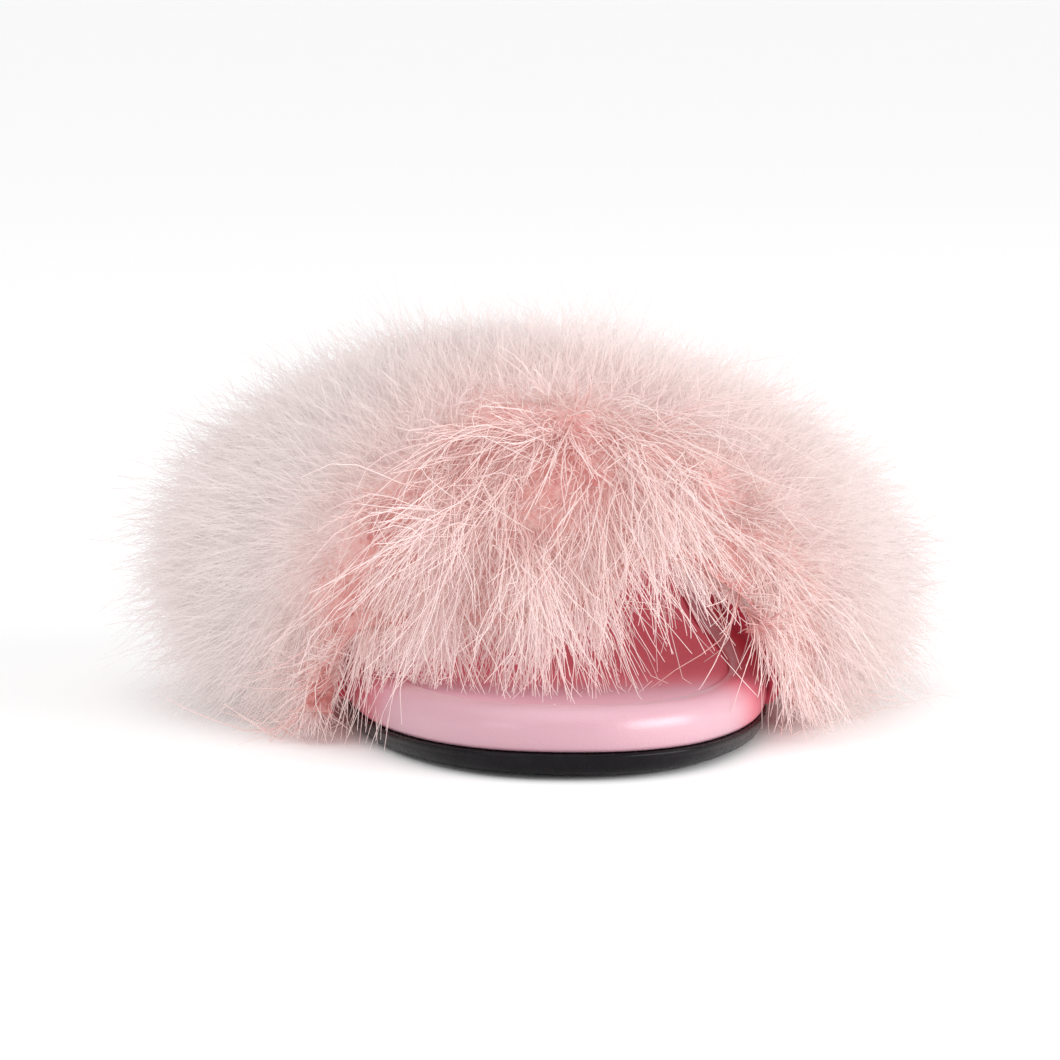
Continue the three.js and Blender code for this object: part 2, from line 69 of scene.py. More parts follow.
# Strap, as in the CAD
STRAP_WALL = 2.4 * MM
STRAP_FRONT_TOP = 62 * MM
STRAP_FRONT_SIDE = 70 * MM
STRAP_BACK_TOP = 142 * MM
STRAP_BACK_SIDE = 164 * MM
STRAP_FRONT_HEIGHT = 43 * MM
STRAP_BACK_HEIGHT = 47 * MM
STRAP_PEAK_SHIFT = 5 * MM
STRAP_SQUARENESS = 0.85
LASTING_MARGIN = 12 * MM
LASTING_BEND = 2.2 * MM

# The sole's outline: along is a share of the length from the toe tip, inner and outer are shares of width.
OUTLINE = [
    {"along": 0.01, "inner": 0.2, "outer": 0.08, "width": BALL_WIDTH},
    {"along": 0.047, "inner": 0.325, "outer": 0.215, "width": BALL_WIDTH},
    {"along": 0.118, "inner": 0.425, "outer": 0.345, "width": BALL_WIDTH},
    {"along": 0.22, "inner": 0.488, "outer": 0.447, "width": BALL_WIDTH},
    {"along": 0.34, "inner": 0.483, "outer": 0.5, "width": BALL_WIDTH},
    {"along": 0.49, "inner": 0.4, "outer": 0.472, "width": BALL_WIDTH},
    {"along": 0.64, "inner": 0.352, "outer": 0.412, "width": BALL_WIDTH},
    {"along": 0.79, "inner": 0.492, "outer": 0.508, "width": HEEL_WIDTH},
    {"along": 0.905, "inner": 0.435, "outer": 0.44, "width": HEEL_WIDTH},
    {"along": 0.98, "inner": 0.245, "outer": 0.245, "width": HEEL_WIDTH},
]
TOE_TIP_X = 0.06 * BALL_WIDTH
RING_POINTS = 264
CAP_COLUMNS = 28
TOE_Y = -SOLE_LENGTH / 2

# Shares of the length, and the arch rise's place across, from -1 on the outer edge to 1 on the inner edge
HEEL_RISE = (0.3, 0.75)  # between them the footbed grows from its toe height to its heel height
CUP = (0.6, 0.85)  # the same for the insole's dish and heel cup
ARCH_MIDDLE = 0.56
ARCH_REACH = 0.13
ARCH_ACROSS = (-0.2, 0.7)


def share_at(y):
    return (y - TOE_Y) / SOLE_LENGTH


def smooth(value, low, high):
    """Smoothstep: 0 up to low, 1 from high on"""
    t = np.clip((value - low) / (high - low), 0, 1)
    return t * t * (3 - 2 * t)


def mix(a, b, t):
    return a + (b - a) * t


def bell(value, middle, width):
    """1 at the middle, falling to nothing on both sides"""
    return np.exp(-(((value - middle) / width) ** 2))


def unit(vectors):
    """The vectors at length 1; one without length stays as it is"""
    tiny = 1e-12
    return vectors / np.maximum(np.linalg.norm(vectors, axis=-1, keepdims=True), tiny)


def quarter_turn(steps):
    """Angles from 0 to 90 degrees"""
    return [math.radians(90 * k / steps) for k in range(steps + 1)]


# Outline

def closed_curve(points, count):
    """Places and directions along a closed centripetal Catmull-Rom curve"""
    at = np.arange(count) * len(points) / count
    first = at.astype(int)
    w = (at - first)[:, None]
    p0, p1, p2, p3 = (points[(first + k) % len(points)] for k in (-1, 0, 1, 2))
    d0, d1, d2 = (np.sqrt(np.linalg.norm(b - a, axis=1))[:, None] for a, b in ((p0, p1), (p1, p2), (p2, p3)))
    start = ((p1 - p0) / d0 - (p2 - p0) / (d0 + d1) + (p2 - p1) / d1) * d1
    end = ((p2 - p1) / d1 - (p3 - p1) / (d1 + d2) + (p3 - p2) / d2) * d1
    cubic = 2 * p1 - 2 * p2 + start + end
    square = 3 * p2 - 3 * p1 - 2 * start - end
    return ((cubic * w + square) * w + start) * w + p1, unit((3 * cubic * w + 2 * square) * w + start)


def sole_outline():
    inner = [(row["inner"] * row["width"], TOE_Y + row["along"] * SOLE_LENGTH) for row in OUTLINE]
    outer = [(-row["outer"] * row["width"], TOE_Y + row["along"] * SOLE_LENGTH) for row in OUTLINE]
    corners = [(TOE_TIP_X, TOE_Y)] + inner + [(0, TOE_Y + SOLE_LENGTH)] + outer[::-1]
    return closed_curve(np.array(corners), RING_POINTS)


EDGE, EDGE_ALONG = sole_outline()


def half_width(y, side):
    """Half width of the outline at y, on the inner (+1) or outer (-1) side"""
    half = RING_POINTS // 2
    edge = EDGE[: half + 1] if side > 0 else np.vstack([EDGE[:1], EDGE[half:][::-1]])
    return side * np.interp(y, edge[:, 1], edge[:, 0])


# Heights of the sole's layers at a share of the length

def above(base, rise):
    """The height function that lies rise over another"""
    return lambda share: base(share) + rise


def tread_z(share):
    return TOE_SPRING * np.maximum(0, 1 - share / TOE_SPRING_END) ** 2


outsole_top_z = above(tread_z, OUTSOLE_THICKNESS)
footbed_bottom_z = above(outsole_top_z, GAP)


def rim_z(share):
    return footbed_bottom_z(share) + mix(FOOTBED_TOE, FOOTBED_HEEL, smooth(share, *HEEL_RISE))


def dish(share, across):
    """How far the insole lies under the rim: across runs from -1 on the outer edge to 1 on the inner edge."""
    bowl = (1 - across**2) * (1 - (2 * share - 1) ** 6)
    depth = mix(DISH_DEPTH, HEEL_CUP, smooth(share, *CUP))
    arch = ARCH_RISE * bell(share, ARCH_MIDDLE, ARCH_REACH) * smooth(across, *ARCH_ACROSS)
    return depth * bowl - arch * (1 - across**8)


def level(share, across):
    """The dish of a flat face"""
    return 0 * share


# Meshes

SAME_PLACE = 1e-6  # points that lie closer are one
NO_LENGTH = 1e-7  # an edge that is shorter is none
SHARP = math.radians(50)  # edges that turn further are drawn sharp


def mesh_object(name, mesh, material, node):
    """A finished piece that stands for a CAD node"""
    made = bpy.data.objects.new(name, mesh)
    bpy.context.scene.collection.objects.link(made)
    if material:
        mesh.materials.clear()
        mesh.materials.append(material)
    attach(made, "root")
    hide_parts(node)
    return made


def mesh_from_grids(name, grids):
    """A closed mesh from grids of points whose edges meet"""
    shape = bmesh.new()
    for grid in grids:
        rows = [[shape.verts.new(p) for p in row] for row in grid]
        for low, high in zip(rows, rows[1:]):
            for k in range(len(low) - 1):
                shape.faces.new((low[k], low[k + 1], high[k + 1], high[k]))
    bmesh.ops.remove_doubles(shape, verts=shape.verts, dist=SAME_PLACE)
    bmesh.ops.dissolve_degenerate(shape, edges=shape.edges, dist=NO_LENGTH)
    bmesh.ops.recalc_face_normals(shape, faces=shape.faces)
    mesh = bpy.data.meshes.new(name)
    shape.to_mesh(mesh)
    shape.free()
    mesh.shade_smooth()
    mesh.set_sharp_from_angle(angle=SHARP)
    return mesh


def settled(made):
    """The object's mesh with its modifiers applied; the object is removed"""
    graph = bpy.context.evaluated_depsgraph_get()
    mesh = bpy.data.meshes.new_from_object(made.evaluated_get(graph))
    bpy.data.objects.remove(made)
    return mesh


# Sole layers

LIP_STEPS = 6  # of the outsole's lip and the insole's edge
RIM_STEPS = 12


def sole_ring(inset, height):
    """The outline drawn in by inset, at the height function"""
    x = EDGE[:, 0] - EDGE_ALONG[:, 1] * inset
    y = EDGE[:, 1] + EDGE_ALONG[:, 0] * inset
    return np.stack([x, y, height(share_at(y))], axis=1)


def cap_grid(ring, drop):
    """A face inside a ring, sunk by drop"""
    half = RING_POINTS // 2
    near = ring[(RING_POINTS - np.arange(half + 1)) % RING_POINTS]
    far = ring[: half + 1]
    across = np.linspace(0, 1, CAP_COLUMNS + 1)[None, :, None]
    grid = near[:, None] * (1 - across) + far[:, None] * across
    inside = (across > 0) & (across < 1)
    grid[..., 2] -= (drop(share_at(grid[..., 1]), 2 * across[..., 0] - 1)) * inside[..., 0]
    return grid


def sole_layer(name, profile, bottom_drop, top_drop):
    """A layer of the sole from its profile, insets and height functions from the bottom up"""
    rings = [sole_ring(inset, height) for inset, height in profile]
    wall = np.stack([np.vstack([ring, ring[:1]]) for ring in rings])
    return mesh_from_grids(name, [wall, cap_grid(rings[0], bottom_drop), cap_grid(rings[-1], top_drop)])


def rounded(radius, inset, height, steps):
    """A quarter round of a profile, from the wall (at inset) up and inward to the top (at height)"""
    return [
        (inset + radius * (1 - math.cos(turn)), above(height, radius * (math.sin(turn) - 1)))
        for turn in quarter_turn(steps)
    ]


def outsole(material):
    """A side that tapers to the tread, under a groove and a rounded lip"""
    lip = OUTSOLE_LIP
    profile = [
        (OUTSOLE_TAPER + 0.5 * MM, tread_z),
        (OUTSOLE_TAPER, above(tread_z, 0.15 * MM)),
        (OUTSOLE_TAPER / 2, above(tread_z, 0.9 * MM)),
        (0.75 * MM, above(tread_z, 2.2 * MM)),
        (0.35 * MM, above(outsole_top_z, -2.6 * lip)),
        (0.3 * MM, above(outsole_top_z, -2.1 * lip)),
        (0.1 * MM, above(outsole_top_z, -1.8 * lip)),
        *rounded(lip, 0, outsole_top_z, LIP_STEPS),
        (2.2 * MM, outsole_top_z),
    ]
    mesh = sole_layer("outsole_rubber", profile, level, level)
    return mesh_object("outsole_rubber", mesh, material, "outsole")


def footbed(material):
    """A wall that swells out of its groove, a rolled rim, its fall to the insole, and the insole's seat"""
    bottom = footbed_bottom_z
    swell = above(bottom, 2.2 * MM)
    inner = RIM_WIDTH
    seat = RIM_DIP + INSOLE_THICKNESS + GAP
    profile = [
        (FOOTBED_GROOVE, bottom),
        (0.8 * MM, above(bottom, 0.35 * MM)),
        (0.5 * MM, above(bottom, 0.9 * MM)),
        (0.25 * MM, swell),
        (0.05 * MM, lambda share: mix(swell(share), rim_z(share) - RIM_RADIUS, 0.5)),
        *rounded(RIM_RADIUS, 0, rim_z, RIM_STEPS),
        (inner - 2.2 * MM, above(rim_z, -0.12 * MM)),
        (inner - INSOLE_ROUND, above(rim_z, -0.3 * RIM_DIP)),
        (inner - 0.5 * MM, above(rim_z, -0.62 * RIM_DIP)),
        (inner - 0.12 * MM, above(rim_z, -RIM_DIP)),
        (inner, above(rim_z, -RIM_DIP - 0.6 * MM)),
        (inner, above(rim_z, -seat)),
    ]
    mesh = sole_layer("footbed_leather", profile, level, dish)
    return mesh_object("footbed_leather", mesh, material, "footbed")


def insole(material):
    edge = RIM_WIDTH + GAP
    top = above(rim_z, -RIM_DIP)
    profile = [(edge, above(top, -INSOLE_THICKNESS)), *rounded(INSOLE_ROUND, edge, top, LIP_STEPS)]
    mesh = sole_layer("insole_leather", profile, dish, dish)
    return mesh_object("insole_leather", mesh, material, "insole")


# Strap

ARCH_STEPS = 72
STRAP_ROWS = 20
EDGE_STEPS = 4  # of the rounded front and back edges
BEND_STEPS = 4  # of the bend over the turned-in edges
STRAP_FRONT_Y = TOE_Y + STRAP_FRONT_TOP
STRAP_BACK_Y = TOE_Y + STRAP_BACK_TOP


def strap_section(y):
    """The middle line of the strap's section at y, as x, z and crown, which is 1 on the ridge"""
    share = share_at(y)
    lift = GAP + STRAP_WALL / 2
    bottom = outsole_top_z(share) + lift
    leg_top = rim_z(share) - RIM_RADIUS
    rise = mix(STRAP_FRONT_HEIGHT, STRAP_BACK_HEIGHT, (y - STRAP_FRONT_Y) / (STRAP_BACK_Y - STRAP_FRONT_Y))
    outer_x, inner_x = -half_width(y, -1) - lift, half_width(y, 1) + lift

    def foot(side):
        x = half_width(y, side) + lift
        turned_in = [(x - LASTING_MARGIN, bottom)]
        corner = [
            (x - LASTING_BEND * (1 - math.sin(bend)), bottom + LASTING_BEND * (1 - math.cos(bend)))
            for bend in quarter_turn(BEND_STEPS)
        ]
        return [(side * px, pz, 0) for px, pz in turned_in + corner]

    height = RIM_RADIUS + rise + STRAP_WALL / 2
    turn = math.pi * (1 - np.arange(ARCH_STEPS + 1) / ARCH_STEPS)
    crown = np.sin(turn) ** 2
    reach = np.sign(np.cos(turn)) * np.abs(np.cos(turn)) ** STRAP_SQUARENESS
    x = (outer_x + inner_x) / 2 + (inner_x - outer_x) / 2 * reach + STRAP_PEAK_SHIFT * crown
    z = leg_top + height * np.abs(np.sin(turn)) ** STRAP_SQUARENESS
    return np.vstack([foot(-1), np.stack([x, z, crown], axis=1), foot(1)[::-1]])


def offset_line(points, distance):
    """The section's line moved out by distance, or in if it is negative"""
    along = unit(np.gradient(points[:, :2], axis=0))
    return points[:, :2] + np.stack([-along[:, 1], along[:, 0]], axis=1) * distance


def strap_surface(rows, side):
    """The outer (1) or inner (-1) face of the strap: rows are shares of its depth and the wall there"""
    crowns = strap_section(STRAP_FRONT_Y)[:, 2]
    front = TOE_Y + mix(STRAP_FRONT_SIDE, STRAP_FRONT_TOP, crowns)
    back = TOE_Y + mix(STRAP_BACK_SIDE, STRAP_BACK_TOP, crowns)
    grid = []
    for depth, wall in rows:
        y = mix(front, back, depth)
        points = [offset_line(strap_section(value), side * wall / 2)[k] for k, value in enumerate(y)]
        x, z = np.array(points).T
        grid.append(np.stack([x, y, z], axis=1))
    return np.array(grid)


def strap_rows():
    """Shares of the strap's depth and the wall there, which is rounded at the front and back edges"""
    half = STRAP_WALL / 2
    depth = STRAP_BACK_TOP - STRAP_FRONT_TOP
    start = [
        (half * (1 - math.cos(turn)) / depth, STRAP_WALL * math.sin(turn))
        for turn in quarter_turn(EDGE_STEPS)
    ]
    middle = [(k / STRAP_ROWS, STRAP_WALL) for k in range(1, STRAP_ROWS)]
    return start + middle + [(1 - share, wall) for share, wall in reversed(start)]


def strap(material):
    outside = strap_surface(strap_rows(), 1)
    inside = strap_surface(strap_rows(), -1)
    ends = [np.stack([outside[:, k], inside[:, k]]) for k in (0, -1)]
    mesh = mesh_from_grids("strap_leather", [outside, inside, *ends])
    return mesh_object("strap_leather", mesh, material, "strap")


# Node graphs

class Wire:
    """A node's output. Arithmetic on it adds Math nodes."""

    def __init__(self, graph, socket):
        self.graph = graph
        self.socket = socket

    def __add__(self, other):
        return self.graph.maths("ADD", self, other)

    def __radd__(self, other):
        return self.graph.maths("ADD", other, self)

    def __sub__(self, other):
        return self.graph.maths("SUBTRACT", self, other)

    def __rsub__(self, other):
        return self.graph.maths("SUBTRACT", other, self)

    def __mul__(self, other):
        return self.graph.maths("MULTIPLY", self, other)

    def __rmul__(self, other):
        return self.graph.maths("MULTIPLY", other, self)

    def __pow__(self, other):
        return self.graph.maths("POWER", self, other)


class Graph:
    """A node tree that is built from calls"""

    def __init__(self, tree):
        self.tree = tree

    def node(self, kind, settings=None, values=None, output=None):
        made = self.tree.nodes.new(kind)
        for name, value in (settings or {}).items():
            if name == "stops":
                self.fill_ramp(made.color_ramp, value)
            else:
                setattr(made, name, value)
        for name, value in (values or {}).items():
            socket = self.pick(made.inputs, name)
            if isinstance(value, Wire):
                self.tree.links.new(value.socket, socket)
            else:
                socket.default_value = value
        return Wire(self, self.pick(made.outputs, output))

    def pick(self, sockets, name):
        if isinstance(name, int):
            return sockets[name]
        return next(s for s in sockets if s.enabled and name in (None, s.name))

    def fill_ramp(self, ramp, stops):
        while len(ramp.elements) < len(stops):
            ramp.elements.new(0.5)
        for element, (place, colour) in zip(ramp.elements, stops):
            element.position = place
            element.color = (*colour, 1)

    def maths(self, operation, first, second=0.0):
        return self.node("ShaderNodeMath", {"operation": operation}, {0: first, 1: second})

    def vector(self, operation, *values):
        named = dict(enumerate(values))
        return self.node("ShaderNodeVectorMath", {"operation": operation}, named)

    def scaled(self, vector, factor):
        return self.node("ShaderNodeVectorMath", {"operation": "SCALE"}, {"Vector": vector, "Scale": factor})

    def blend_colour(self, factor, first, second):
        values = {"Factor": factor, "A": first, "B": second}
        return self.node("ShaderNodeMix", {"data_type": "RGBA"}, values)

    def blend_number(self, factor, first, second):
        values = {"Factor": factor, "A": first, "B": second}
        return self.node("ShaderNodeMix", {"data_type": "FLOAT"}, values)


# Materials

class Finish(Graph):
    """A material with one Principled shader"""

    def __init__(self, name, **sockets):
        self.material = bpy.data.materials.new(name)
        self.material.use_nodes = True
        super().__init__(self.material.node_tree)
        self.shader = self.tree.nodes["Principled BSDF"]
        for label, value in sockets.items():
            self.set(label.replace("_", " "), value)
        self.place = self.node("ShaderNodeTexCoord", output="Object")

    def set(self, label, value):
        socket = self.shader.inputs[label]
        if isinstance(value, Wire):
            self.tree.links.new(value.socket, socket)
        else:
            socket.default_value = value

    def speckle(self, size, detail=3.0):
        """Noise with features of a real size, from 0 to 1"""
        values = {"Vector": self.place, "Scale": 1 / size, "Detail": detail, "Roughness": 0.55}
        return self.node("ShaderNodeTexNoise", {"noise_dimensions": "3D"}, values, "Fac")

    def cells(self, size):
        """Rounded cells of a real size"""
        values = {"Vector": self.place, "Scale": 1 / size}
        return self.node("ShaderNodeTexVoronoi", {"feature": "SMOOTH_F1"}, values, "Distance")

    def ramp(self, value, stops):
        return self.node("ShaderNodeValToRGB", {"stops": stops}, {"Fac": value}, "Color")

    def rise(self, value, low, high):
        """Smoothstep: 0 up to low, 1 from high on"""
        return self.node("ShaderNodeMapRange", {"interpolation_type": "SMOOTHSTEP"}, {
            "Value": value, "From Min": low, "From Max": high,
        })

    def bump(self, height, depth):
        values = {"Height": height, "Distance": depth, "Strength": 1.0}
        self.set("Normal", self.node("ShaderNodeBump", {}, values))


# Painted shade: under the strap the leather takes a deep rose and loses its coat. The rose stands for the
# shadow there and the pink light bounced off what is round it. It changes between these places.
SHADED_FRONT = (-92 * MM, -66 * MM)
SHADED_BACK = (25 * MM, 70 * MM)
RIM_SHADED_FRONT = (-103 * MM, -82 * MM)

# The outsole's ribs begin where its normal's z is the first of these, and are whole at the second.
UNDERSIDE = (-0.9, -0.98)


def leather(name, light, deep, grain=0.5, coat=0.25, roughness=(0.32, 0.45), gloss=0.4, glow=0.0, ends=None,
            front=SHADED_FRONT):
    """Smooth full-grain leather: pores grain millimetres wide, a soft finish and slow changes of colour

    The glow is painted light, standing for the light between its faces. With ends, it has that colour and the
    coat outside the strap. Under the strap its own colour stands as painted shade and the coat is taken off,
    and front says where that changes before the strap."""
    look = Finish(name, Coat_Weight=coat, Coat_Roughness=0.36, Specular_IOR_Level=gloss,
                  Emission_Strength=glow)
    broad = look.speckle(38 * MM, 2.0)
    fine = look.speckle(4 * MM, 4.0)
    colour = look.ramp(0.7 * broad + 0.3 * fine, [(0.32, deep), (0.68, light)])
    if ends:
        y = look.node("ShaderNodeSeparateXYZ", {}, {0: look.place}, "Y")
        # Painted shade: from front to SHADED_BACK the colour turns to the given deep rose and the coat goes.
        painted_shade = look.rise(y, *front) - look.rise(y, *SHADED_BACK)
        colour = look.blend_colour(painted_shade, (*ends, 1), colour)
        look.set("Coat Weight", (1 - painted_shade) * coat)
    look.set("Base Color", colour)
    look.set("Emission Color", colour)
    look.set("Roughness", look.blend_number(fine, *roughness))
    pores = look.cells(grain * MM)
    folds = look.speckle(9 * MM, 3.0)
    look.bump(pores + 2.5 * folds + 0.5 * look.speckle(0.9 * MM, 2.0), 0.06 * MM)
    return look.material


def rubber(name):
    """Moulded black rubber with a satin side and a finely ribbed tread"""
    look = Finish(name, Coat_Weight=0.08, Coat_Roughness=0.1, Specular_IOR_Level=0.08)
    scuff = look.speckle(6 * MM, 5.0)
    look.set("Base Color", look.ramp(scuff, [(0.3, (0.004, 0.003, 0.004)), (0.75, (0.010, 0.008, 0.010))]))
    look.set("Roughness", look.blend_number(look.speckle(2.5 * MM), 0.2, 0.34))
    normal = look.node("ShaderNodeNewGeometry", output="Normal")
    facing = look.node("ShaderNodeSeparateXYZ", {}, {0: normal}, "Z")
    begins, whole = UNDERSIDE
    under = look.node("ShaderNodeMapRange", {}, {"Value": facing, "From Min": begins, "From Max": whole})
    ribs = look.node("ShaderNodeTexWave", {"bands_direction": "Y"}, {
        "Vector": look.place, "Scale": 1 / (12 * MM), "Distortion": 2.0, "Detail": 0.0,
    }, "Fac")
    look.bump(under * ribs * 0.8 + 0.06 * scuff, 0.5 * MM)
    return look.material


# Painted light: the down's emission, standing for the light passed from barb to barb
DOWN_GLOW = 0.31


def down(name, roots, tips, nap=0.0):
    """Dyed down: roots and tips give its colour for the map's u, a strand's shade, and v, from root to tip

    The roots' darker colours are painted shade among the barbs, and its glow is painted light, standing for
    the light that passes from barb to barb. On the bed, nap is the size of the matted barbs."""
    look = Finish(name, Roughness=0.75, Specular_IOR_Level=0.15, Sheen_Weight=0.2, Sheen_Roughness=0.5,
                  Emission_Strength=DOWN_GLOW)
    spot = look.node("ShaderNodeUVMap", {"uv_map": "OFBake"}, {}, "UV")
    shade = look.node("ShaderNodeSeparateXYZ", {}, {0: spot}, "X")
    along = look.node("ShaderNodeSeparateXYZ", {}, {0: spot}, "Y")
    if nap:
        matted = look.speckle(nap, 4.0)
        usual = 0.55
        shade = shade + 0.6 * (matted - usual)
        look.bump(matted, nap)
    root = look.ramp(shade, roots)
    tip = look.ramp(shade, tips)
    # Painted shade: towards the root the colour darkens, for the shade among the barbs.
    colour = look.blend_colour(look.rise(along, 0.0, 0.75), root, tip)
    look.set("Base Color", colour)
    look.set("Emission Color", colour)
    return look.material


# Fur

BED_VOXEL = 3 * MM
BED_PASSES = 60  # smoothing passes over the shown side of the bed
BED_STEP = 0.6  # how far a pass moves a point to the middle of its neighbours
BED_HELD = 0.02  # the share of that in the hollow
BED_SINK = 7 * MM  # how far that side then lies inside the CAD fur
BED_CLEAR = 1.2 * MM  # the same in the hollow and round the sole
BED_HEART = np.array([0, -25 * MM, 30 * MM])  # the down points away from here

# A face of the bed is hidden if it looks less straight away from there than this, and shown if more.
BED_SHOWN = (0.2, 0.55)

# The arch over which the down parts: a fringe hangs inside it, and the halo stands out round it.
ARCH_OUTER = 54 * MM
ARCH_INNER = 61 * MM
ARCH_HEIGHT = 75 * MM

# Where things lie as shares of that arch: 0 is under its middle and 1 is on it.
FRINGE_END = (0.9, 1.02)
PARTING = (0.98, 0.1)  # its middle and width, as for the next two
PARTING_DOWN = (1.0, 0.14)
CURTAIN = (1.08, 0.1)  # hangs low beside the toe opening

# Shades of the down, from 0, deep, to 1, pale
HALO_SHADE = 0.5
# Partly painted light: the halo is paler away from the parting and towards the back, partly its own colour
# and partly the light there.
FAR_SHADE = 0.45  # more than that at the sides and the back
# Painted light: the colour is deeper on the inner side and paler on the outer side, to make up for how the
# lamps light the two sides.
INNER_SHADE = 0.14  # less than that on the inner side
FRINGE_SHADE = 0.26
# Painted shade: the bed's hidden faces inside the down take this deep shade.
HIDDEN_SHADE = 0.05

# Hollows of the down near that arch, where its barbs are shorter and fewer and its colour is painted deeper
# as shade in them, as x and z in mm
HOLLOWS = [(-38, 49), (-13, 73), (-48, 34), (4, 62)]
HOLLOW_SIZE = 8 * MM

# Over the toe opening the smoothing lifts the bed's edge, and this brings it back down.
OPENING_X = 33 * MM
OPENING_HALF = 16 * MM
OPENING_SAG = 5 * MM
OPENING_AHEAD = (60 * MM, 75 * MM)  # it begins and is whole so far ahead of the origin
OPENING_EDGE = (30 * MM, 42 * MM)  # and so high, and it fades out over the next
OPENING_FADE = (52 * MM, 75 * MM)

# The front of the bed: how far its faces look ahead, and how far ahead of the origin they lie
FRONT_FACING = (0.0, 0.4)
FRONT_AHEAD = (45 * MM, 70 * MM)

# No down grows on the faces that sit on the floor: how far they look down, and how high they lie.
SITTING_FACING = (0.6, 0.9)
SITTING_HEIGHT = (4 * MM, 10 * MM)

HALO_SOURCE = np.array([0, -100 * MM, 25 * MM])  # the halo streams away from a place before the toe
HALO_FALL = np.array([0, 0, -0.15])
CURTAIN_SHARE = 0.8  # how far the halo turns down there
CURTAIN_TOP = (25 * MM, 45 * MM)
FRINGE_SPREAD = 110 * MM  # the height over which the fringe would spread to twice its width

# Lower edge of the fringe, as x and z in mm
HEM = [
    (-60, 10), (-52, 19), (-44, 21), (-35, 20), (0, 22), (8, 27),
    (18, 37), (38, 39), (45, 32), (51, 16), (60, 5),
]
FRINGE_LENGTH = 30 * MM
HALO_LENGTH = 20 * MM
CROWN_LENGTH = 0.72  # the share of that which the down has at the top of the dome


def numbers(data, name, width=1):
    """A property of every item of a mesh's list"""
    values = np.empty(len(data) * width, dtype=np.float32)
    data.foreach_get(name, values)
    return values.reshape(-1, width).astype(float) if width > 1 else values.astype(float)


def paint(mesh, name, values):
    """Stores a number or a vector for each point"""
    kind = "FLOAT_VECTOR" if values.ndim == 2 else "FLOAT"
    layer = mesh.attributes.new(name, kind, "POINT")
    layer.data.foreach_set("vector" if values.ndim == 2 else "value", values.astype(np.float32).ravel())


def shown_share(place, normal):
    """1 where the surface faces away from the fur's middle, 0 in the hollow, beside the sole and under it"""
    outward = (normal * unit(place - BED_HEART)).sum(axis=1)
    return smooth(outward, *BED_SHOWN)


def relaxed(mesh, place, passes, share):
    """Places after smoothing passes along the mesh's edges; share says how far each point takes part"""
    first, second = numbers(mesh.edges, "vertices", 2).astype(int).T
    points = len(place)
    count = np.bincount(first, minlength=points) + np.bincount(second, minlength=points)
    for turn in range(passes):
        total = np.stack([
            np.bincount(first, value[second], points) + np.bincount(second, value[first], points)
            for value in place.T
        ], axis=1)
        place = mix(place, total / count[:, None], BED_STEP * share)
    return place


def moved(mesh, place):
    """Moves the mesh's points and gives their new normals"""
    mesh.vertices.foreach_set("co", place.astype(np.float32).ravel())
    mesh.update()
    return numbers(mesh.vertices, "normal", 3)


def drop_crumbs(mesh):
    """Keeps the biggest connected part of a mesh"""
    shape = bmesh.new()
    shape.from_mesh(mesh)
    parts = []
    seen = set()
    for start in shape.verts:
        if start in seen:
            continue
        part = []
        waiting = [start]
        seen.add(start)
        while waiting:
            point = waiting.pop()
            part.append(point)
            for other in (edge.other_vert(point) for edge in point.link_edges):
                if other not in seen:
                    seen.add(other)
                    waiting.append(other)
        parts.append(part)
    parts.sort(key=len)
    crumbs = [point for part in parts[:-1] for point in part]
    bmesh.ops.delete(shape, geom=crumbs, context="VERTS")
    shape.to_mesh(mesh)
    shape.free()


def down_bed():
    """The mass of down that the barbs grow from: the CAD fur, its shown side smoothed and drawn in"""
    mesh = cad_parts["marabou"].data.copy()
    shape = bmesh.new()
    shape.from_mesh(mesh)
    bmesh.ops.remove_doubles(shape, verts=shape.verts, dist=SAME_PLACE)
    shape.to_mesh(mesh)
    shape.free()
    made = bpy.data.objects.new("bed", mesh)
    bpy.context.scene.collection.objects.link(made)
    for size in (2 * BED_VOXEL, BED_VOXEL):
        remesh = made.modifiers.new("remesh", "REMESH")
        remesh.mode = "VOXEL"
        remesh.voxel_size = size
    bed = settled(made)
    bed.name = "down_bed"
    drop_crumbs(bed)

    place = numbers(bed.vertices, "co", 3)
    plain = relaxed(bed, place, BED_PASSES // 3, 1)
    shown = shown_share(plain, moved(bed, plain))[:, None]
    place = relaxed(bed, place, BED_PASSES, np.maximum(shown, BED_HELD))
    normal = moved(bed, place)
    place = place - normal * mix(BED_CLEAR, BED_SINK, shown)
    x, y, z = place.T
    over = smooth(-y, *OPENING_AHEAD) * bell(x, OPENING_X, OPENING_HALF)
    edge = smooth(z, *OPENING_EDGE) * (1 - smooth(z, *OPENING_FADE))
    place[:, 2] -= OPENING_SAG * over * edge
    moved(bed, place)
    return bed


